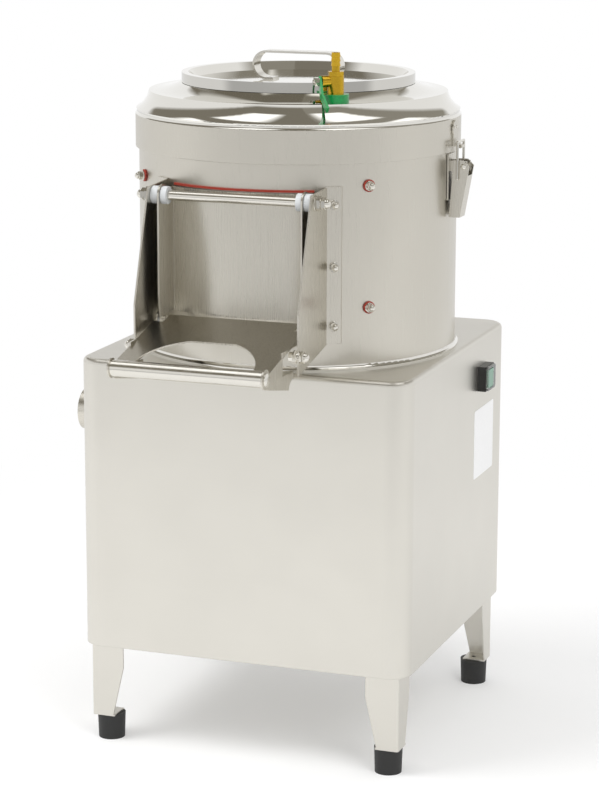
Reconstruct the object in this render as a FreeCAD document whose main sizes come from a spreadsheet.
import FreeCAD, Part
import os
import re
import Sketcher

# Potato peeling machine: a square cabinet on four short legs, with a round peeling drum,
# a domed cover held by two toggle latches, and a discharge door in front of the drum.
# The frame has +Z up and the front at -Y. The origin is on the drum's axis, at floor level.

SIZES = [
    # Cabinet, legs and feet
    ("cabinet_width", 400.0),
    ("cabinet_depth", 400.0),
    ("cabinet_height", 343.0),
    ("cabinet_clearance", 119.0),
    ("cabinet_setback", 5.0),
    ("cabinet_corner", 26.0),
    ("cabinet_bend", 6.0),
    ("cabinet_wall", 1.5),
    ("base_thickness", 2.0),
    ("foot_radius", 16.5),
    ("foot_height", 30.0),
    ("foot_taper", 1.0),
    ("leg_inset", 10.0),
    ("leg_width", 40.0),
    ("leg_toe", 26.0),
    ("leg_straight", 28.0),
    ("leg_sheet", 2.0),
    ("leg_plate", 28.0),
    ("foot_inset", 17.0),
    ("foot_screw", 3.0),
    # Drum
    ("drum_radius", 186.0),
    ("drum_wall", 2.0),
    ("drum_height", 266.0),
    ("ring_width", 4.0),
    ("ring_height", 6.0),
    ("floor_height", 12.0),
    ("floor_thickness", 3.0),
    ("disc_radius", -16.0),
    ("disc_thickness", 8.0),
    ("disc_lift", 12.0),
    ("disc_crown", 14.0),
    ("hub_radius", 28.0),
    ("wave_radius", 7.0),
    ("liner_thickness", 3.0),
    ("liner_height", 210.0),
    ("seat_gap", 0.3),
    # Discharge outlet, its cheeks, hinge rod and catch pins
    ("outlet_shift", -4.0),
    ("outlet_half", 78.0),
    ("outlet_low", 69.0),
    ("outlet_high", 188.0),
    ("gasket_thickness", 2.5),
    ("gasket_margin", 6.5),
    ("gasket_lip_gap", 1.0),
    ("gasket_lip", 2.5),
    ("cheek_half", 95.5),
    ("cheek_sheet", 2.0),
    ("cheek_flange", 16.0),
    ("cheek_top", 208.0),
    ("cheek_nose", 205.0),
    ("cheek_knee", 79.0),
    ("cheek_toe", 12.0),
    ("cheek_heel", 31.0),
    ("cheek_reach_top", 27.0),
    ("cheek_reach", 68.0),
    ("rod_reach", 14.0),
    ("rod_level", 195.0),
    ("rod_radius", 5.5),
    ("rod_stub", 8.0),
    ("bushing_radius", 10.0),
    ("bushing_inner", 7.0),
    ("fit_gap", 0.1),
    ("pin_reach", 66.0),
    ("pin_level", 33.0),
    ("pin_radius", 5.5),
    ("pin_inside", 9.0),
    ("pin_outside", 8.0),
    # Door and its handle lever
    ("door_gap", 9.5),
    ("door_sheet", 2.0),
    ("door_low", 59.0),
    ("door_high", 201.0),
    ("wing_reach", 26.0),
    ("wing_shoulder", 83.0),
    ("wing_eye", 12.0),
    ("pivot_reach", 14.0),
    ("pivot_level", 53.0),
    ("pivot_eye", 8.0),
    ("pivot_radius", 3.0),
    ("pivot_head", 5.5),
    ("pivot_head_height", 3.0),
    ("pivot_end", 1.5),
    ("washer_radius", 6.5),
    ("lever_gap", 2.0),
    ("lever_sheet", 2.0),
    ("lever_rear", 11.0),
    ("lever_rear_level", 59.0),
    ("lever_throat", 30.0),
    ("lever_tongue", 78.0),
    ("lever_lip", 139.0),
    ("lever_lip_level", 28.5),
    ("lever_boss", 10.0),
    ("notch_front", 98.0),
    ("notch_low", 17.0),
    ("notch_high", 43.0),
    ("lever_heel", 64.0),
    ("lever_heel_level", 2.0),
    ("lever_toe", 78.0),
    ("lever_toe_level", -2.0),
    ("lever_toe_bend", 12.0),
    ("lever_chin", 142.0),
    ("lever_chin_level", 11.0),
    ("bar_reach", 149.0),
    ("bar_level", 24.0),
    ("bar_radius", 9.2),
    ("bar_bore", 5.0),
    ("nose_radius", 11.0),
    ("arch_half", 70.0),
    ("arch_rear", 74.0),
    ("arch_flat", 27.0),
    ("arch_bend", 75.0),
    # Cover, lid and lid handle
    ("band_wall", 3.7),
    ("band_height", 38.0),
    ("band_overlap", 33.0),
    ("bead_height", 6.0),
    ("bead_bulge", 4.0),
    ("band_lip", 2.3),
    ("dome_radius", 3.0),
    ("dome_rise", 29.0),
    ("dome_shoulder", 27.8),
    ("dome_knee", -12.0),
    ("dome_knee_rise", 20.5),
    ("dome_crown", 80.4),
    ("dome_neck", -48.0),
    ("dome_hole", -62.0),
    ("dome_sheet", 1.5),
    ("lid_radius", -50.0),
    ("lid_height", 12.0),
    ("lid_rim", 8.0),
    ("lid_recess", 10.0),
    ("lid_bevel", 4.0),
    ("lid_sheet", 1.5),
    ("lid_spigot", 8.0),
    ("grip_half", 37.0),
    ("grip_height", 33.5),
    ("grip_strap", 2.5),
    ("grip_width", 20.0),
    ("grip_foot", 9.0),
    # Water tap
    ("tap_x", 90.4),
    ("tap_reach", 127.6),
    ("tap_turn", 35.3),
    ("tap_gasket_radius", 15.0),
    ("tap_gasket_height", 5.0),
    ("tap_stem", 5.0),
    ("tap_stem_length", 14.0),
    ("tap_body_radius", 9.3),
    ("tap_body_height", 20.0),
    ("tap_collar_height", 5.0),
    ("barb_radius", 4.6),
    ("barb_bore", 2.8),
    ("barb_height", 21.0),
    ("barb_ridge", 0.8),
    ("barb_pitch", 5.0),
    ("tap_gland_radius", 6.5),
    ("tap_gland_length", 7.0),
    ("tap_spindle_level", 14.0),
    ("tap_spindle", 2.5),
    ("tap_nut_radius", 4.6),
    ("tap_nut_length", 7.0),
    ("tap_lever_length", 42.0),
    ("tap_lever_width", 8.0),
    ("tap_lever_sheet", 2.6),
    ("tap_lever_wave", 2.5),
    ("tap_lever_tilt", 47.0),
    # Toggle latches
    ("catch_eye", 10.0),
    ("catch_level", -7.0),
    ("catch_tongue", 6.5),
    ("catch_sheet", 2.0),
    ("catch_ledge", -24.5),
    ("catch_ledge_reach", 9.5),
    ("latch_plate_half", 13.0),
    ("latch_plate_low", -88.0),
    ("latch_plate_high", -35.0),
    ("latch_plate", 2.0),
    ("latch_pivot_stand", 18.5),
    ("latch_pivot_level", -49.0),
    ("latch_pin", 2.5),
    ("ear_inside", 6.0),
    ("ear_sheet", 2.0),
    ("ear_half", 6.0),
    ("ear_tip", 3.5),
    ("latch_side", 8.5),
    ("latch_sheet", 1.5),
    ("latch_head", 7.0),
    ("latch_inner", 6.5),
    ("latch_tip_inner", 2.0),
    ("latch_web_drop", 10.5),
    ("latch_tip_level", -108.0),
    ("latch_tip_stand", 15.0),
    ("bail_stand", 12.0),
    ("bail_low", -63.0),
    ("bail_high", -21.0),
    ("bail_half", 12.5),
    ("bail_wire", 1.5),
    # Switch, drain and cable gland
    ("switch_along", 81.0),
    ("switch_level", -65.0),
    ("switch_width", 34.0),
    ("switch_height", 30.0),
    ("switch_depth", 10.0),
    ("button_margin", 4.0),
    ("button_width", 20.0),
    ("button_sink", 4.0),
    ("button_stand", 2.5),
    ("pocket_depth", 7.0),
    ("drain_radius", 25.0),
    ("drain_wall", 3.0),
    ("drain_length", 57.0),
    ("drain_reach", 45.0),
    ("drain_level", -95.0),
    ("gland_radius", 10.0),
    ("gland_length", 22.0),
    ("gland_bore", 4.0),
    ("gland_x", 120.0),
    ("gland_level", 51.0),
]

# Heights measured from the cabinet's top, with those below it negative.
FROM_CABINET_TOP = (
    "outlet_low", "outlet_high", "cheek_top", "cheek_nose", "cheek_knee", "cheek_toe", "cheek_heel",
    "rod_level", "pin_level", "door_low", "door_high", "wing_shoulder", "pivot_level",
    "lever_rear_level", "lever_lip_level", "notch_low", "notch_high", "lever_heel_level",
    "lever_toe_level", "lever_chin_level", "bar_level", "switch_level", "drain_level",
)

# Heights measured from the drum's rim, downwards.
FROM_RIM = (
    "catch_level", "catch_ledge", "latch_plate_low", "latch_plate_high", "latch_pivot_level",
    "latch_tip_level", "bail_low", "bail_high",
)

# Distances from the drum's axis, measured outwards from its shell.
FROM_SHELL = (
    "cheek_reach_top", "cheek_reach", "rod_reach", "pin_reach", "wing_reach", "pivot_reach",
    "lever_rear", "lever_throat", "lever_lip", "notch_front", "lever_heel", "lever_toe",
    "lever_chin", "bar_reach", "arch_rear", "dome_radius", "dome_knee", "dome_neck", "dome_hole",
    "lid_radius", "disc_radius",
)

# Sizes that follow from others.
DERIVED = {
    "door_half": "cheek_half - door_gap",
    "lever_half": "door_half + lever_gap + lever_sheet",
}

doc = FreeCAD.newDocument("potato_peeler")
sheet = doc.addObject("Spreadsheet::Sheet", "Sizes")
for row, (alias, value) in enumerate(SIZES, start=1):
    sheet.set("A%d" % row, alias)
    sheet.set("B%d" % row, str(value))
    sheet.setAlias("B%d" % row, alias)
doc.recompute()

FULL_TURN = 360.0
QUARTER = 90.0
HALF_TURN = 180.0
SECOND_LATCH = 160.0
FUNCTIONS = ("sqrt", "sin", "cos", "tan", "max", "min", "deg")
NODES = []
TOUCH = 0.01


def bound(text):
    """Turn a formula in the sizes' own words into an expression on the sheet."""
    def prefix(match):
        word = match.group(0)
        cell = "Sizes." + word
        if word in FUNCTIONS:
            return word
        if word in DERIVED:
            return "(" + bound(DERIVED[word]) + ")"
        if word in FROM_CABINET_TOP:
            return "(Sizes.cabinet_clearance + Sizes.cabinet_height + " + cell + ")"
        if word in FROM_RIM:
            return ("(Sizes.cabinet_clearance + Sizes.cabinet_height + Sizes.drum_height + "
                    + cell + ")")
        if word in FROM_SHELL:
            return "(Sizes.drum_radius + " + cell + ")"
        return cell
    return re.sub(r"[a-z][a-z_]*", prefix, text)


def value(text):
    """The number that such a formula gives now."""
    return float(sheet.evalExpression(bound(text)))


def bind(thing, settings):
    for name, text in settings.items():
        thing.setExpression(name, bound(text))


def place(thing, x="", y="", z=""):
    for name, text in (("x", x), ("y", y), ("z", z)):
        if text:
            thing.setExpression("Placement.Base." + name, bound(text))


def turned(thing, axis, angle):
    """Turn a piece about a line through its own base point."""
    thing.Placement = FreeCAD.Placement(FreeCAD.Vector(), FreeCAD.Rotation(axis, angle))


X_AXIS = FreeCAD.Vector(1, 0, 0)
Y_AXIS = FreeCAD.Vector(0, 1, 0)
Z_AXIS = FreeCAD.Vector(0, 0, 1)


def keep(thing, label):
    thing.Label = label
    NODES.append(thing)
    return thing


def box(name, length, width, height, x="", y="", z=""):
    thing = doc.addObject("Part::Box", name)
    bind(thing, {"Length": length, "Width": width, "Height": height})
    place(thing, x, y, z)
    return thing


def cylinder(name, radius, height, x="", y="", z="", along=None):
    """A cylinder that starts at the point given and runs along +Z, +X or +Y."""
    thing = doc.addObject("Part::Cylinder", name)
    bind(thing, {"Radius": radius, "Height": height})
    if along == "x":
        turned(thing, Y_AXIS, QUARTER)
    if along == "y":
        turned(thing, X_AXIS, -QUARTER)
    place(thing, x, y, z)
    return thing


def cone(name, low, high, height, x="", y="", z=""):
    thing = doc.addObject("Part::Cone", name)
    bind(thing, {"Radius1": low, "Radius2": high, "Height": height})
    place(thing, x, y, z)
    return thing


def fuse(name, pieces):
    thing = doc.addObject("Part::MultiFuse", name)
    thing.Shapes = pieces
    thing.Refine = True
    return thing


def common(name, pieces):
    thing = doc.addObject("Part::MultiCommon", name)
    thing.Shapes = pieces
    return thing


def cut(name, base, tool):
    thing = doc.addObject("Part::Cut", name)
    thing.Base = base
    thing.Tool = tool
    thing.Refine = True
    return thing


def group(name, pieces):
    """Like pieces of one kind that don't touch, kept as one node."""
    thing = doc.addObject("Part::Compound", name)
    thing.Links = pieces
    return thing


def arc_through(start, end, radius, side):
    """The shorter arc of this radius between two points; side says which way it bulges."""
    middle = (start + end) * 0.5
    chord = end - start
    reach = max(radius * radius - chord.Length ** 2 / 4.0, 0.0) ** 0.5
    normal = FreeCAD.Vector(-chord.y, chord.x, 0.0).normalize()
    centre = middle + normal * (reach * side)
    top = centre - normal * (radius * side)
    return Part.Arc(start, top, end)


def outline(sketch, corners):
    """Draw a closed outline. A corner is (x, y), or (x, y, radius, side) where an arc leaves it."""
    points = [FreeCAD.Vector(value(corner[0]), value(corner[1]), 0.0) for corner in corners]
    count = len(corners)
    for index, corner in enumerate(corners):
        start = points[index]
        end = points[(index + 1) % count]
        if len(corner) == 2:
            sketch.addGeometry(Part.LineSegment(start, end), False)
        else:
            sketch.addGeometry(arc_through(start, end, value(corner[2]), corner[3]), False)
    ends = []
    for index, corner in enumerate(corners):
        first, last = 1, 2
        if len(corner) == 4 and corner[3] < 0:
            first, last = 2, 1
        ends.append((first, last))
    for index, corner in enumerate(corners):
        following = (index + 1) % count
        sketch.addConstraint(Sketcher.Constraint(
            "Coincident", index, ends[index][1], following, ends[following][0]))
        for kind, text, rule in (("x", corner[0], "DistanceX"), ("y", corner[1], "DistanceY")):
            place_in = sketch.addConstraint(Sketcher.Constraint(
                rule, -1, 1, index, ends[index][0], value(text)))
            name = "corner_%d_%s" % (index, kind)
            sketch.renameConstraint(place_in, name)
            sketch.setExpression("Constraints." + name, bound(text))
        if len(corner) == 4:
            bend = sketch.addConstraint(Sketcher.Constraint("Radius", index, value(corner[2])))
            name = "bend_%d" % index
            sketch.renameConstraint(bend, name)
            sketch.setExpression("Constraints." + name, bound(corner[2]))


def sketch_on(body, role):
    sketch = body.newObject("Sketcher::SketchObject", body.Name + "_outline")
    plane = [item for item in body.Origin.OriginFeatures if item.Role == role][0]
    sketch.AttachmentSupport = [(plane, "")]
    sketch.MapMode = "FlatFace"
    return sketch


def padded(name, role, corners, length, x="", y="", z=""):
    """A plate: an outline on one of the body's planes, given a thickness."""
    body = doc.addObject("PartDesign::Body", name)
    sketch = sketch_on(body, role)
    outline(sketch, corners)
    pad = body.newObject("PartDesign::Pad", name + "_pad")
    pad.Profile = sketch
    bind(pad, {"Length": length})
    place(body, x, y, z)
    return body


def turned_part(name, corners, z=""):
    """A round piece: an outline of radius and height, revolved about the vertical axis."""
    body = doc.addObject("PartDesign::Body", name)
    sketch = sketch_on(body, "XZ_Plane")
    outline(sketch, corners)
    spin = body.newObject("PartDesign::Revolution", name + "_revolution")
    spin.Profile = sketch
    spin.ReferenceAxis = (sketch, ["V_Axis"])
    spin.Angle = FULL_TURN
    place(body, "", "", z)
    return body


def rounded(name, base, radius, wanted):
    """Round the edges of a piece that the function picks."""
    doc.recompute()
    thing = doc.addObject("Part::Fillet", name)
    thing.Base = base
    size = value(radius)
    thing.Edges = [(number, size, size) for number, edge in enumerate(base.Shape.Edges, start=1)
                   if wanted(edge)]
    return thing


def upright(edge):
    box_of = edge.BoundBox
    return box_of.XLength < TOUCH and box_of.YLength < TOUCH


CABINET_TOP = "(cabinet_clearance + cabinet_height)"


def cabinet():
    """A folded sheet housing with round corners, open below, and the plate that closes it."""
    outer = box("cabinet_outer", "cabinet_width", "cabinet_depth", "cabinet_height",
                "-cabinet_width / 2", "cabinet_setback - cabinet_depth / 2", "cabinet_clearance")
    outer = rounded("cabinet_corners", outer, "cabinet_corner", upright)
    top = value(CABINET_TOP)
    outer = rounded("cabinet_bends", outer, "cabinet_bend",
                    lambda edge: abs(edge.BoundBox.ZMin - top) < TOUCH)
    inner = box("cabinet_inner", "cabinet_width - 2 * cabinet_wall",
                "cabinet_depth - 2 * cabinet_wall", "cabinet_height - cabinet_wall",
                "cabinet_wall - cabinet_width / 2",
                "cabinet_setback - cabinet_depth / 2 + cabinet_wall", "cabinet_clearance")
    inner = rounded("cabinet_inner_corners", inner, "cabinet_corner - cabinet_wall", upright)
    under = value(CABINET_TOP + " - cabinet_wall")
    inner = rounded("cabinet_inner_bends", inner, "cabinet_bend - cabinet_wall",
                    lambda edge: abs(edge.BoundBox.ZMin - under) < TOUCH)
    shell = cut("cabinet_shell", outer, inner)
    waste = cylinder("drain_way", "drain_radius - drain_wall", "2 * cabinet_corner",
                     "-cabinet_width / 2 - cabinet_corner", "-drain_reach", "drain_level", "x")
    shell = cut("cabinet_with_drain", shell, waste)
    lead = cylinder("lead_way", "gland_bore", "2 * cabinet_corner", "gland_x",
                    "cabinet_setback + cabinet_depth / 2 - cabinet_corner", "cabinet_clearance + gland_level", "y")
    keep(cut("cabinet_with_lead", shell, lead), "cabinet_body")
    plate = box("base_blank", "cabinet_width - 2 * cabinet_wall",
                "cabinet_depth - 2 * cabinet_wall", "base_thickness",
                "cabinet_wall - cabinet_width / 2",
                "cabinet_setback - cabinet_depth / 2 + cabinet_wall", "cabinet_clearance")
    keep(rounded("base_corners", plate, "cabinet_corner - cabinet_wall", upright), "base_plate")


def leg(name, side_x, side_y):
    """A leg of bent sheet: two tapered flanges, and a plate folded in above the foot."""
    inset_x = "(cabinet_width / 2 - leg_inset)"
    inset_y = "(cabinet_depth / 2 - leg_inset)"
    waist = "cabinet_clearance - leg_straight"
    flange = [("0", "foot_height"), ("leg_toe", "foot_height"), ("leg_width", waist),
              ("leg_width", "cabinet_clearance"), ("0", "cabinet_clearance")]
    along = padded(name + "_front", "XZ_Plane", flange, "leg_sheet", "0", "leg_sheet")
    across = padded(name + "_side", "YZ_Plane", flange, "leg_sheet")
    plate = cut(name + "_plate_bored",
                box(name + "_plate", "leg_plate", "leg_plate", "leg_sheet", "0", "0", "foot_height"),
                cylinder(name + "_plate_hole", "foot_screw", "leg_sheet", "foot_inset", "foot_inset",
                         "foot_height"))
    blank = fuse(name + "_blank", [along, across, plate])
    doc.recompute()
    fold = rounded(name + "_fold", blank, "1.5 * leg_sheet",
                   lambda edge: upright(edge) and abs(edge.BoundBox.XMin) < TOUCH
                   and abs(edge.BoundBox.YMin) < TOUCH)
    angle = {(-1, -1): 0.0, (1, -1): QUARTER, (1, 1): HALF_TURN, (-1, 1): -QUARTER}
    turned(fold, Z_AXIS, angle[(side_x, side_y)])
    place(fold, "%d * %s" % (side_x, inset_x), "cabinet_setback + %d * %s" % (side_y, inset_y))
    keep(fold, "leg_" + name)
    foot = cone("foot_cone_" + name, "foot_radius", "foot_radius", "foot_height",
                "%d * (cabinet_width / 2 - leg_inset - foot_inset)" % side_x,
                "cabinet_setback + %d * (cabinet_depth / 2 - leg_inset - foot_inset)" % side_y)
    bind(foot, {"Radius1": "foot_radius - foot_taper"})
    hole = cylinder("foot_hole_" + name, "foot_screw", "foot_height",
                    "%d * (cabinet_width / 2 - leg_inset - foot_inset)" % side_x,
                    "cabinet_setback + %d * (cabinet_depth / 2 - leg_inset - foot_inset)" % side_y)
    keep(cut("foot_bored_" + name, foot, hole), "foot_" + name)


def drum():
    """The peeling drum: a rolled shell with the discharge opening cut through its front."""
    ring = turned_part("ring_body", [
        ("drum_radius", "0"), ("drum_radius + ring_width", "0"),
        ("drum_radius + ring_width", "ring_height - ring_width", "ring_width", -1),
        ("drum_radius", "ring_height")],
        CABINET_TOP)
    keep(ring, "drum_base_ring")
    shell = turned_part("drum_body", [
        ("drum_radius - drum_wall", "0"), ("drum_radius", "0"),
        ("drum_radius", "drum_height"), ("drum_radius - drum_wall", "drum_height")], CABINET_TOP)
    way = box("outlet_way", "2 * outlet_half", "drum_radius", "outlet_high - outlet_low",
              "outlet_shift - outlet_half", "-1.2 * drum_radius", "outlet_low")
    keep(cut("drum_with_outlet", shell, way), "drum_shell")
    keep(cylinder("floor_disc", "drum_radius - drum_wall", "floor_thickness",
                  "0", "0", CABINET_TOP + " + floor_height"), "drum_floor")
    bottom = CABINET_TOP + " + floor_height + floor_thickness"
    liner = turned_part("liner_body", [
        ("drum_radius - drum_wall - liner_thickness", "0"),
        ("drum_radius - drum_wall", "0"),
        ("drum_radius - drum_wall", "liner_height"),
        ("drum_radius - drum_wall - liner_thickness", "liner_height")], bottom)
    gap = box("liner_way", "2 * outlet_half", "drum_radius", "outlet_high - outlet_low",
              "outlet_shift - outlet_half", "-1.2 * drum_radius", "outlet_low")
    keep(cut("liner_with_outlet", liner, gap), "drum_liner")
    crown = "(disc_lift + disc_thickness)"
    disc = turned_part("disc_body", [
        ("0", "0"), ("hub_radius", "0"), ("hub_radius", "disc_lift"),
        ("disc_radius", "disc_lift"), ("disc_radius", crown),
        ("hub_radius", crown + " + disc_crown / 3"), ("0", crown + " + disc_crown")], bottom)
    waves = []
    for index in range(3):
        wave = doc.addObject("Part::Cylinder", "wave_%d" % index)
        bind(wave, {"Radius": "wave_radius", "Height": "disc_radius - 2 * hub_radius"})
        spin = FreeCAD.Rotation(Z_AXIS, FULL_TURN * index / 3)
        wave.Placement = FreeCAD.Placement(
            spin.multVec(FreeCAD.Vector(value("1.5 * hub_radius"), 0, value(bottom + " + " + crown))),
            spin.multiply(FreeCAD.Rotation(Y_AXIS, QUARTER)))
        waves.append(wave)
    keep(fuse("disc_with_waves", [disc] + waves), "peeling_disc")


def outlet():
    """Two bent cheeks beside the opening carry the hinge rod and the catch pins."""
    for name, side in (("left", -1), ("right", 1)):
        plate = padded("cheek_plate_" + name, "YZ_Plane", [
            ("-0.75 * drum_radius", "cheek_top"), ("-cheek_reach_top", "cheek_nose"),
            ("-cheek_reach", "cheek_knee"), ("-cheek_reach", "cheek_toe"),
            ("-0.75 * drum_radius", "cheek_heel + (cheek_heel - cheek_toe) / 5")], "cheek_sheet",
            "outlet_shift + %d * (cheek_half + cheek_sheet / 2) - cheek_sheet / 2" % side)
        sleeve = cylinder("flange_roll_" + name, "drum_radius + cheek_sheet",
                          "cheek_top - cheek_heel", "0", "0", "cheek_heel")
        strip = box("flange_strip_" + name, "cheek_flange", "drum_radius",
                    "cheek_top - cheek_heel",
                    "outlet_shift + %d * (cheek_half + cheek_flange / 2) - cheek_flange / 2" % side,
                    "-1.2 * drum_radius", "cheek_heel")
        flange = common("flange_" + name, [sleeve, strip])
        sheet_metal = fuse("cheek_blank_" + name, [plate, flange])
        core = cylinder("drum_core_" + name, "drum_radius", "drum_height", "0", "0", CABINET_TOP)
        shaped = cut("cheek_shaped_" + name, sheet_metal, core)
        start = "outlet_shift + %d * (cheek_half + cheek_sheet / 2) - cheek_sheet" % side
        bores = fuse("cheek_bores_" + name, [
            cylinder("rod_bore_" + name, "rod_radius", "2 * cheek_sheet", start,
                     "-rod_reach", "rod_level", "x"),
            cylinder("pin_bore_" + name, "pin_radius", "2 * cheek_sheet", start,
                     "-pin_reach", "pin_level", "x")])
        keep(cut("cheek_bored_" + name, shaped, bores), "outlet_cheek_" + name)
    keep(cylinder("rod", "rod_radius", "2 * (cheek_half + cheek_sheet + rod_stub)",
                  "outlet_shift - cheek_half - cheek_sheet - rod_stub", "-rod_reach",
                  "rod_level", "x"), "hinge_rod")
    rings = []
    outer_length = "(cheek_half - door_half - 2 * seat_gap)"
    for name, length, start in (
            ("outer_left", outer_length, "-cheek_half + seat_gap"),
            ("inner_left", "bushing_inner", "-door_half + door_sheet + seat_gap"),
            ("inner_right", "bushing_inner", "door_half - door_sheet - seat_gap - bushing_inner"),
            ("outer_right", outer_length, "door_half + seat_gap")):
        body = cylinder("bushing_" + name, "bushing_radius", length, "outlet_shift " + (
            start if start.startswith("-") else "+ " + start), "-rod_reach", "rod_level", "x")
        hole = cylinder("bushing_hole_" + name, "rod_radius", length, "outlet_shift " + (
            start if start.startswith("-") else "+ " + start), "-rod_reach", "rod_level", "x")
        rings.append(cut("bushing_ring_" + name, body, hole))
    keep(group("bushings", rings), "rod_bushings")
    pins = []
    pin_length = "pin_inside + cheek_sheet + pin_outside"
    for name, start in (("left", "-cheek_half - cheek_sheet - pin_outside"),
                        ("right", "+ cheek_half - pin_inside")):
        pins.append(cylinder("catch_pin_" + name, "pin_radius", pin_length,
                             "outlet_shift " + start, "-pin_reach", "pin_level", "x"))
    keep(group("pins", pins), "catch_pins")
    roll = turned_part("gasket_roll", [
        ("drum_radius", "outlet_low - gasket_margin"),
        ("drum_radius + gasket_thickness", "outlet_low - gasket_margin"),
        ("drum_radius + gasket_thickness", "outlet_high"), ("drum_radius", "outlet_high")])
    strip = box("gasket_strip", "2 * (outlet_half + gasket_margin)", "drum_radius",
                "drum_height", "outlet_shift - outlet_half - gasket_margin",
                "-1.2 * drum_radius", CABINET_TOP)
    window = box("gasket_window", "2 * outlet_half", "drum_radius",
                 "outlet_high - outlet_low + gasket_margin", "outlet_shift - outlet_half",
                 "-1.2 * drum_radius", "outlet_low")
    frame = cut("gasket_frame", common("gasket_blank", [roll, strip]), window)
    lip_low = "door_high + gasket_lip_gap"
    lip_roll = turned_part("gasket_lip_roll", [
        ("drum_radius", lip_low), ("drum_radius + gasket_thickness", lip_low),
        ("drum_radius + gasket_thickness", lip_low + " + gasket_lip"),
        ("drum_radius", lip_low + " + gasket_lip")])
    lip_strip = box("gasket_lip_strip", "2 * (outlet_half + gasket_margin)", "drum_radius",
                    "drum_height", "outlet_shift - outlet_half - gasket_margin",
                    "-1.2 * drum_radius", CABINET_TOP)
    keep(group("gasket", [frame, common("gasket_lip", [lip_roll, lip_strip])]), "outlet_gasket")


def door():
    """The door: a rolled panel with a wing folded forward at each side, hung on the rod."""
    inside = "(drum_radius + gasket_thickness + seat_gap)"
    roll = turned_part("panel_roll", [
        (inside, "door_low"), (inside + " + door_sheet", "door_low"),
        (inside + " + door_sheet", "door_high"), (inside, "door_high")])
    strip = box("panel_strip", "2 * door_half", "drum_radius", "drum_height",
                "outlet_shift - door_half", "-1.2 * drum_radius", CABINET_TOP)
    panel = common("panel_blank", [roll, strip])
    blanks = []
    for name, start in (("left", "-door_half"), ("right", "+ door_half - door_sheet")):
        plate = padded("wing_plate_" + name, "YZ_Plane", [
            ("-0.8 * drum_radius", "door_high"),
            ("-rod_reach + wing_eye", "door_high"),
            ("-rod_reach + wing_eye", "rod_level"),
            ("-rod_reach - wing_eye", "rod_level"),
            ("-wing_reach", "rod_level - wing_eye"), ("-wing_reach", "wing_shoulder"),
            ("-pivot_reach - pivot_eye", "pivot_level"),
            ("-pivot_reach + pivot_eye", "pivot_level"),
            ("-pivot_reach + pivot_eye", "door_low"),
            ("-0.8 * drum_radius", "door_low")], "door_sheet", "outlet_shift " + start)
        eye = cylinder("wing_eye_" + name, "wing_eye", "door_sheet", "outlet_shift " + start,
                       "-rod_reach", "rod_level", "x")
        tip = cylinder("wing_tip_" + name, "pivot_eye", "door_sheet", "outlet_shift " + start,
                       "-pivot_reach", "pivot_level", "x")
        blanks.append(fuse("wing_" + name, [plate, eye, tip]))
    core = cylinder("panel_core", inside, "2 * drum_height", "0", "0", CABINET_TOP)
    wings = cut("wings_trimmed", fuse("wings", blanks), core)
    whole = fuse("door_blank", [panel, wings])
    bores = fuse("door_bores", [
        cylinder("door_rod_bore", "rod_radius + fit_gap", "4 * door_half",
                 "outlet_shift - 2 * door_half", "-rod_reach", "rod_level", "x"),
        cylinder("door_pivot_bore", "pivot_radius + fit_gap", "4 * door_half",
                 "outlet_shift - 2 * door_half", "-pivot_reach", "pivot_level", "x")])
    keep(cut("door_bored", whole, bores), "door_panel")
    bolts = []
    washers = []
    inside = "(door_half - door_sheet - pivot_head_height)"
    reach = "(lever_half + pivot_end)"
    for name, shank_start, head_start, washer_start in (
            ("left", "-" + reach, "-door_half + door_sheet",
             "-lever_half + lever_sheet + fit_gap"),
            ("right", "+ " + inside, "+ " + inside, "+ door_half + fit_gap")):
        shank = cylinder("pivot_shank_" + name, "pivot_radius", reach + " - " + inside,
                         "outlet_shift " + shank_start, "-pivot_reach", "pivot_level", "x")
        head = cylinder("pivot_head_" + name, "pivot_head", "pivot_head_height",
                        "outlet_shift " + head_start, "-pivot_reach", "pivot_level", "x")
        bolts.append(fuse("pivot_" + name, [shank, head]))
        thickness = "lever_half - lever_sheet - door_half - 2 * fit_gap"
        ring = cylinder("washer_disc_" + name, "washer_radius", thickness,
                        "outlet_shift " + washer_start, "-pivot_reach", "pivot_level", "x")
        hole = cylinder("washer_hole_" + name, "pivot_radius", thickness,
                        "outlet_shift " + washer_start, "-pivot_reach", "pivot_level", "x")
        washers.append(cut("washer_" + name, ring, hole))
    keep(group("pivots", bolts), "lever_pivots")
    keep(group("washers", washers), "pivot_washers")


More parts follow.
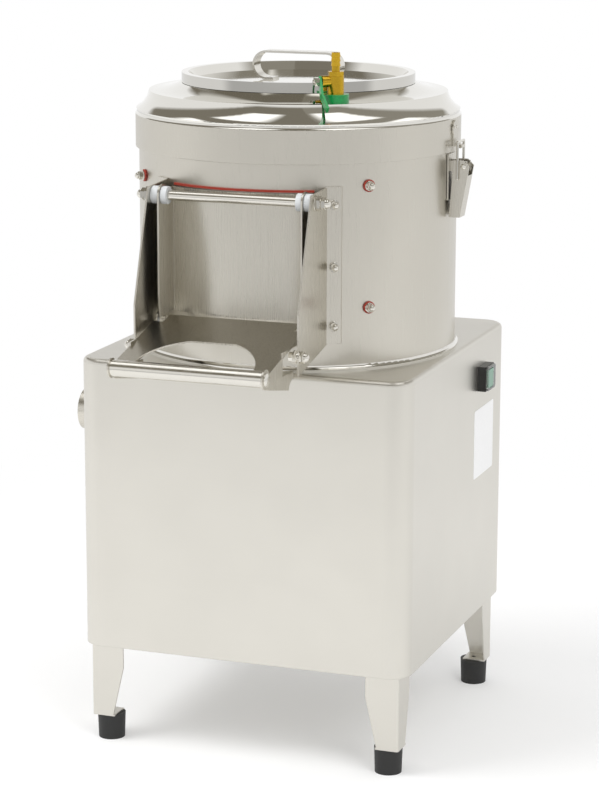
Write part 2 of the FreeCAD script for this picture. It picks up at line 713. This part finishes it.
def handle_lever():
    """The handle lever: a bent plate with an arched grip hole, and two hooked side plates."""
    fall = "((lever_rear_level - lever_lip_level) / (lever_lip - lever_rear))"
    throat_level = "(lever_rear_level - (lever_throat - lever_rear) * %s)" % fall
    tongue = padded("lever_tongue_plate", "YZ_Plane", [
        ("-lever_rear", "lever_rear_level - lever_sheet"), ("-lever_rear", "lever_rear_level"),
        ("-lever_throat", throat_level), ("-lever_throat", throat_level + " - lever_sheet")],
        "2 * lever_tongue", "outlet_shift - lever_tongue")
    plate = padded("lever_plate", "YZ_Plane", [
        ("-lever_throat", throat_level + " - lever_sheet"), ("-lever_throat", throat_level),
        ("-lever_lip", "lever_lip_level"), ("-lever_lip", "lever_lip_level - lever_sheet")],
        "2 * lever_half", "outlet_shift - lever_half")
    arch = padded("arch_tool", "XY_Plane", [
        ("-arch_half", "-lever_lip - bar_radius", "arch_bend", -1), ("-arch_flat", "-arch_rear"),
        ("arch_flat", "-arch_rear", "arch_bend", -1), ("arch_half", "-lever_lip - bar_radius")],
        "lever_rear_level - lever_toe_level", "outlet_shift", "", "lever_toe_level")
    top = fuse("lever_top", [tongue, cut("lever_arched", plate, arch)])
    sides = []
    for name, start in (("left", "-lever_half"), ("right", "+ lever_half - lever_sheet")):
        side = padded("lever_side_" + name, "YZ_Plane", [
            ("-pivot_reach", "pivot_level"), ("-lever_throat", throat_level),
            ("-lever_lip", "lever_lip_level"),
            ("-bar_reach - nose_radius", "bar_level"), ("-lever_chin", "lever_chin_level"),
            ("-lever_toe", "lever_toe_level", "lever_toe_bend", -1),
            ("-lever_heel", "lever_heel_level + lever_toe_bend / 2"),
            ("-lever_heel", "notch_low"), ("-notch_front", "notch_low"),
            ("-notch_front", "notch_high"), ("-pivot_reach", "notch_high")],
            "lever_sheet", "outlet_shift " + start)
        nose = cylinder("lever_nose_" + name, "nose_radius", "lever_sheet",
                        "outlet_shift " + start, "-bar_reach", "bar_level", "x")
        eye = cylinder("lever_eye_" + name, "lever_boss", "lever_sheet",
                       "outlet_shift " + start, "-pivot_reach", "pivot_level", "x")
        sides.append(fuse("lever_cheek_" + name, [side, nose, eye]))
    blank = fuse("lever_blank", [top] + sides)
    bores = fuse("lever_bores", [
        cylinder("lever_pivot_bore", "pivot_radius + fit_gap", "4 * lever_half",
                 "outlet_shift - 2 * lever_half", "-pivot_reach", "pivot_level", "x"),
        cylinder("lever_bar_bore", "bar_bore", "4 * lever_half",
                 "outlet_shift - 2 * lever_half", "-bar_reach", "bar_level", "x")])
    keep(cut("lever_bored", blank, bores), "handle_lever")
    length = "2 * (lever_half - lever_sheet)"
    start = "outlet_shift - lever_half + lever_sheet"
    bar = cylinder("bar", "bar_radius", length, start, "-bar_reach", "bar_level", "x")
    bore = cylinder("bar_hole", "bar_bore", length, start, "-bar_reach", "bar_level", "x")
    keep(cut("bar_tube", bar, bore), "handle_bar")


BAND_LOW = "(cabinet_clearance + cabinet_height + drum_height - band_overlap)"
DOME_LOW = "(cabinet_clearance + cabinet_height + drum_height - band_overlap" \
           " + band_height + bead_height)"
DOME_TOP = "(cabinet_clearance + cabinet_height + drum_height - band_overlap" \
           " + band_height + bead_height + dome_rise)"


def cover():
    """The cover: a skirt round the drum's top, a rolled bead and a polished dome."""
    inside = "drum_radius + seat_gap"
    keep(turned_part("band_body", [
        (inside, "0"), (inside + " + band_wall", "0"),
        (inside + " + band_wall", "band_height"), (inside + " - band_lip", "band_height"),
        (inside + " - band_lip", "band_overlap"), (inside, "band_overlap")], BAND_LOW),
        "cover_band")
    keep(turned_part("bead", [
        (inside, "0"), (inside + " + band_wall", "0", "bead_bulge", -1),
        ("dome_radius", "bead_height"), (inside, "bead_height")],
        BAND_LOW + " + band_height"), "cover_bead")
    dome = turned_part("dome_body", [
        ("dome_radius", "0", "dome_shoulder", -1), ("dome_knee", "dome_knee_rise", "dome_crown", -1),
        ("dome_neck", "dome_rise"), ("dome_hole", "dome_rise"),
        ("dome_hole", "dome_rise - dome_sheet"),
        ("dome_neck", "dome_rise - dome_sheet", "dome_crown - dome_sheet", 1),
        ("dome_knee - 0.45 * dome_sheet", "dome_knee_rise - 0.9 * dome_sheet",
         "dome_shoulder - dome_sheet", 1),
        ("dome_radius - dome_sheet", "0")], DOME_LOW)
    hole = cylinder("tap_way", "tap_stem + fit_gap", "2 * dome_rise", "tap_x", "-tap_reach",
                    DOME_LOW)
    keep(cut("dome_with_tap_hole", dome, hole), "cover_dome")
    keep(turned_part("lid_body", [
        ("lid_radius - lid_sheet", "seat_gap"), ("lid_radius", "seat_gap"),
        ("lid_radius", "lid_height"), ("lid_radius - lid_rim", "lid_height"),
        ("lid_radius - lid_rim - lid_bevel", "lid_height - lid_recess"),
        ("0", "lid_height - lid_recess"), ("0", "lid_height - lid_recess - lid_sheet"),
        ("dome_hole - 2 * lid_sheet - seat_gap", "lid_height - lid_recess - lid_sheet"),
        ("dome_hole - 2 * lid_sheet - seat_gap", "-lid_spigot"),
        ("dome_hole - lid_sheet - seat_gap", "-lid_spigot"),
        ("dome_hole - lid_sheet - seat_gap", "lid_height - lid_recess - lid_sheet"),
        ("lid_radius - lid_rim - lid_bevel + lid_sheet / 2", "lid_height - lid_recess - lid_sheet"),
        ("lid_radius - lid_rim + lid_sheet / 2", "lid_height - lid_sheet"),
        ("lid_radius - lid_sheet", "lid_height - lid_sheet")], DOME_TOP), "inner_lid")
    bend = "grip_height / 2"
    tight = "grip_height / 2 - grip_strap"
    strap = padded("grip_body", "XZ_Plane", [
        ("-grip_half + grip_foot", "0"), ("-grip_half", "0", bend, -1),
        ("-grip_half - grip_height / 2", bend, bend, -1), ("-grip_half", "grip_height"),
        ("grip_half", "grip_height", bend, -1), ("grip_half + grip_height / 2", bend, bend, -1),
        ("grip_half", "0"), ("grip_half - grip_foot", "0"),
        ("grip_half - grip_foot", "grip_strap"), ("grip_half", "grip_strap", tight, 1),
        ("grip_half + grip_height / 2 - grip_strap", bend, tight, 1),
        ("grip_half", "grip_height - grip_strap"),
        ("-grip_half", "grip_height - grip_strap", tight, 1),
        ("-grip_half - grip_height / 2 + grip_strap", bend, tight, 1),
        ("-grip_half", "grip_strap"), ("-grip_half + grip_foot", "grip_strap")], "grip_width",
        "", "grip_width / 2", DOME_TOP + " + lid_height - lid_recess")
    keep(strap, "lid_handle")


def tap():
    """The water tap: a brass body on a green gasket, a hose barb and a lever on a spindle."""
    seat = DOME_TOP + " - dome_rise / 8"
    blank = cylinder("tap_gasket_blank", "tap_gasket_radius", "tap_gasket_height + dome_rise / 2",
                     "tap_x", "-tap_reach", seat + " - dome_rise / 2")
    fill = turned_part("dome_fill", [
        ("0", "0"), ("dome_radius", "0", "dome_shoulder", -1),
        ("dome_knee", "dome_knee_rise", "dome_crown", -1),
        ("dome_neck", "dome_rise"), ("0", "dome_rise")], DOME_LOW)
    bore = cylinder("tap_gasket_bore", "tap_stem + fit_gap", "2 * dome_rise", "tap_x",
                    "-tap_reach", seat + " - dome_rise")
    keep(cut("tap_gasket_cut", cut("tap_gasket_fitted", blank, fill), bore), "tap_gasket")
    foot = seat + " + tap_gasket_height"
    barrel = cylinder("tap_barrel", "tap_body_radius", "tap_body_height", "tap_x",
                      "-tap_reach", foot)
    stem = cylinder("tap_stem_rod", "tap_stem", "tap_stem_length", "tap_x", "-tap_reach",
                    foot + " - tap_stem_length")
    collar = doc.addObject("Part::Prism", "tap_collar")
    collar.Polygon = 6
    bind(collar, {"Circumradius": "tap_body_radius", "Height": "tap_collar_height"})
    place(collar, "tap_x", "-tap_reach", foot + " + tap_body_height")
    turn = FreeCAD.Rotation(Z_AXIS, value("tap_turn"))
    centre = FreeCAD.Vector(value("tap_x"), value("-tap_reach"),
                            value(foot + " + tap_spindle_level"))
    gland_end = value("-tap_body_radius - tap_gland_length")
    gland = cylinder("tap_gland_body", "tap_gland_radius", "tap_body_radius + tap_gland_length")
    gland_way = cylinder("tap_gland_way", "tap_spindle + fit_gap", "tap_gland_length")
    for piece in (gland, gland_way):
        piece.Placement = FreeCAD.Placement(
            centre + turn.multVec(FreeCAD.Vector(gland_end, 0, 0)),
            turn.multiply(FreeCAD.Rotation(Y_AXIS, QUARTER)))
    body = fuse("tap_casting", [barrel, stem, collar, gland])
    ways = fuse("tap_ways", [gland_way, cylinder(
        "tap_bore", "barb_bore", "tap_stem_length + tap_body_height + tap_collar_height",
        "tap_x", "-tap_reach", foot + " - tap_stem_length")])
    keep(cut("tap_casting_bored", body, ways), "tap_body")
    head = foot + " + tap_body_height + tap_collar_height"
    pieces = [cylinder("barb_core", "barb_radius", "barb_height", "tap_x", "-tap_reach", head)]
    for index in range(3):
        pieces.append(cone("barb_ridge_%d" % index, "barb_radius + barb_ridge", "barb_radius",
                           "barb_pitch", "tap_x", "-tap_reach",
                           head + " + barb_height - %d * barb_pitch" % (index + 1)))
    keep(cut("barb_bored", fuse("barb_solid", pieces), cylinder(
        "barb_way", "barb_bore", "barb_height", "tap_x", "-tap_reach", head)), "hose_barb")
    wave = "tap_lever_wave"
    half = "tap_lever_length / 2"
    blade = padded("tap_blade", "XZ_Plane", [
        ("0", "tap_nut_radius"), ("0", "0"), ("-" + wave, "-" + half), ("0", "-tap_lever_length"),
        ("-tap_lever_sheet", "-tap_lever_length"), ("-tap_lever_sheet - " + wave, "-" + half),
        ("-tap_lever_sheet", "0"), ("-tap_lever_sheet", "tap_nut_radius")], "tap_lever_width",
        "", "tap_lever_width / 2")
    nut = doc.addObject("Part::Prism", "tap_nut")
    nut.Polygon = 6
    bind(nut, {"Circumradius": "tap_nut_radius", "Height": "tap_nut_length"})
    turned(nut, Y_AXIS, QUARTER)
    place(nut, "-tap_lever_sheet - 0.8 * tap_nut_length")
    spindle = cylinder("tap_spindle_rod", "tap_spindle",
                       "tap_lever_sheet + tap_gland_length", "-tap_lever_sheet", "", "", "x")
    lever = fuse("tap_lever_solid", [blade, nut, spindle])
    lever.Placement = FreeCAD.Placement(
        centre + turn.multVec(FreeCAD.Vector(gland_end - value("seat_gap"), 0, 0)),
        turn.multiply(FreeCAD.Rotation(X_AXIS, -value("tap_lever_tilt"))))
    keep(lever, "tap_lever")


def latch(name, angle):
    """A toggle latch: hooked catch, base with ears and pin, pressed lever and wire bail."""
    def set_round(thing, label):
        turned(thing, Z_AXIS, angle)
        return keep(thing, label)
    band = "(drum_radius + seat_gap + band_wall)"
    tongue = padded("catch_tongue_" + name, "YZ_Plane", [
        ("-catch_tongue", "catch_ledge - catch_sheet"), ("catch_tongue", "catch_ledge - catch_sheet"),
        ("0.8 * catch_eye", "catch_level - 0.6 * catch_eye"),
        ("-0.8 * catch_eye", "catch_level - 0.6 * catch_eye")], "catch_sheet", band)
    eye = cylinder("catch_eye_" + name, "catch_eye", "catch_sheet", band, "", "catch_level", "x")
    ledge = box("catch_ledge_" + name, "catch_ledge_reach", "2 * catch_tongue", "catch_sheet",
                band, "-catch_tongue", "catch_ledge - catch_sheet")
    curl = cylinder("catch_curl_" + name, "catch_sheet", "2 * catch_tongue",
                    band + " + catch_ledge_reach", "-catch_tongue", "catch_ledge - catch_sheet", "y")
    set_round(fuse("catch_" + name, [tongue, eye, ledge, curl]), "latch_catch_" + name)
    plate = box("latch_plate_" + name, "latch_plate", "2 * latch_plate_half",
                "latch_plate_high - latch_plate_low", "drum_radius", "-latch_plate_half",
                "latch_plate_low")
    pivot = "drum_radius + latch_pivot_stand"
    ears = []
    for side, start in (("a", "-ear_inside - ear_sheet"), ("b", "ear_inside")):
        ears.append(box("latch_ear_%s_%s" % (side, name), "latch_pivot_stand + ear_tip",
                        "ear_sheet", "2 * ear_half", "drum_radius", start,
                        "latch_pivot_level - ear_half"))
    pin = cylinder("latch_pin_" + name, "latch_pin", "2 * (latch_side + latch_sheet)", pivot,
                   "-latch_side - latch_sheet", "latch_pivot_level", "y")
    set_round(fuse("latch_base_" + name, [plate, pin] + ears), "latch_base_%s" % name)
    sides = []
    for side, start in (("a", "-latch_side"), ("b", "latch_side + latch_sheet")):
        cheek = padded("latch_cheek_%s_%s" % (side, name), "XZ_Plane", [
            ("drum_radius + latch_inner", "latch_pivot_level + latch_head"),
            (pivot, "latch_pivot_level + latch_head"), (pivot + " + latch_head", "latch_pivot_level"),
            ("drum_radius + latch_tip_stand", "latch_tip_level"),
            ("drum_radius + latch_tip_inner", "latch_tip_level")], "latch_sheet", "", start)
        sides.append(cheek)
    slope = "((latch_pivot_stand + latch_head - latch_tip_stand) / (latch_pivot_level - latch_tip_level))"
    edge = pivot + " + latch_head - latch_web_drop * " + slope
    web = padded("latch_web_" + name, "XZ_Plane", [
        (edge, "latch_pivot_level - latch_web_drop"),
        ("drum_radius + latch_tip_stand", "latch_tip_level"),
        ("drum_radius + latch_tip_stand - latch_sheet", "latch_tip_level"),
        (edge + " - latch_sheet", "latch_pivot_level - latch_web_drop")],
        "2 * (latch_side + latch_sheet)", "", "latch_side + latch_sheet")
    blank = fuse("latch_blank_" + name, sides + [web])
    bores = fuse("latch_bores_" + name, [
        cylinder("latch_bore_" + name, "latch_pin + fit_gap", "4 * latch_side", pivot,
                 "-2 * latch_side", "latch_pivot_level", "y"),
        cylinder("latch_eye_bore_" + name, "bail_wire + fit_gap", "4 * latch_side",
                 "drum_radius + bail_stand", "-2 * latch_side", "bail_low", "y")])
    set_round(cut("latch_lever_solid_" + name, blank, bores), "latch_lever_%s" % name)
    stand = "drum_radius + bail_stand"
    wires = [cylinder("bail_top_" + name, "bail_wire", "2 * bail_half", stand, "-bail_half",
                      "bail_high", "y")]
    for side, sign in (("a", -1), ("b", 1)):
        wires.append(cylinder("bail_leg_%s_%s" % (side, name), "bail_wire",
                              "bail_high - bail_low", stand, "%d * bail_half" % sign, "bail_low"))
        wires.append(cylinder("bail_foot_%s_%s" % (side, name), "bail_wire",
                              "bail_half - latch_side", stand,
                              "-bail_half" if sign < 0 else "latch_side", "bail_low", "y"))
        for end in ("low", "high"):
            knuckle = doc.addObject("Part::Sphere", "bail_%s_%s_%s" % (end, side, name))
            bind(knuckle, {"Radius": "bail_wire"})
            place(knuckle, stand, "%d * bail_half" % sign, "bail_" + end)
            wires.append(knuckle)
    set_round(fuse("bail_" + name, wires), "latch_bail_%s" % name)


def fittings():
    """The switch on the right side, the drain on the left and the cable gland at the back."""
    housing = box("switch", "switch_depth", "switch_width", "switch_height", "cabinet_width / 2",
                  "switch_along", "switch_level")
    tall = "switch_height - 2 * button_margin"
    pocket = box("switch_pocket", "pocket_depth", "button_width + 2 * seat_gap",
                 tall + " + 2 * seat_gap", "cabinet_width / 2 + switch_depth - pocket_depth",
                 "switch_along + button_margin - seat_gap",
                 "switch_level + button_margin - seat_gap")
    keep(cut("switch_pocketed", housing, pocket), "switch_housing")
    keep(box("button", "button_sink + button_stand", "button_width", tall,
             "cabinet_width / 2 + switch_depth - button_sink", "switch_along + button_margin",
             "switch_level + button_margin"), "switch_button")
    start = "-cabinet_width / 2 - drain_length"
    pipe = cylinder("pipe", "drain_radius", "drain_length", start, "-drain_reach",
                    "drain_level", "x")
    bore = cylinder("pipe_bore", "drain_radius - drain_wall", "drain_length", start, "-drain_reach",
                    "drain_level", "x")
    keep(cut("pipe_wall", pipe, bore), "drain_pipe")
    back = "cabinet_setback + cabinet_depth / 2"
    nut = cylinder("gland_nut", "gland_radius", "gland_length", "gland_x", back, "cabinet_clearance + gland_level", "y")
    way = cylinder("gland_way", "gland_bore", "gland_length", "gland_x", back, "cabinet_clearance + gland_level", "y")
    keep(cut("gland_ring", nut, way), "cable_gland")


cabinet()
leg("front_left", -1, -1)
leg("front_right", 1, -1)
leg("rear_right", 1, 1)
leg("rear_left", -1, 1)
drum()
outlet()
door()
handle_lever()
cover()
tap()
latch("right", 0.0)
latch("left", SECOND_LATCH)
fittings()
doc.recompute()

for thing in doc.Objects:
    if "Invalid" in thing.State or "Error" in thing.State:
        raise RuntimeError("%s did not build: %s" % (thing.Name, thing.State))
for thing in NODES:
    if thing.Shape.isNull() or not thing.Shape.isValid():
        raise RuntimeError("%s has no valid shape" % thing.Label)

os.makedirs("parts", exist_ok=True)
for thing in NODES:
    shape = thing.Shape
    shape.exportStep("parts/%s.step" % thing.Label)
    print("%-24s %2d solids %10.1f mm3" % (thing.Label, len(shape.Solids), shape.Volume))
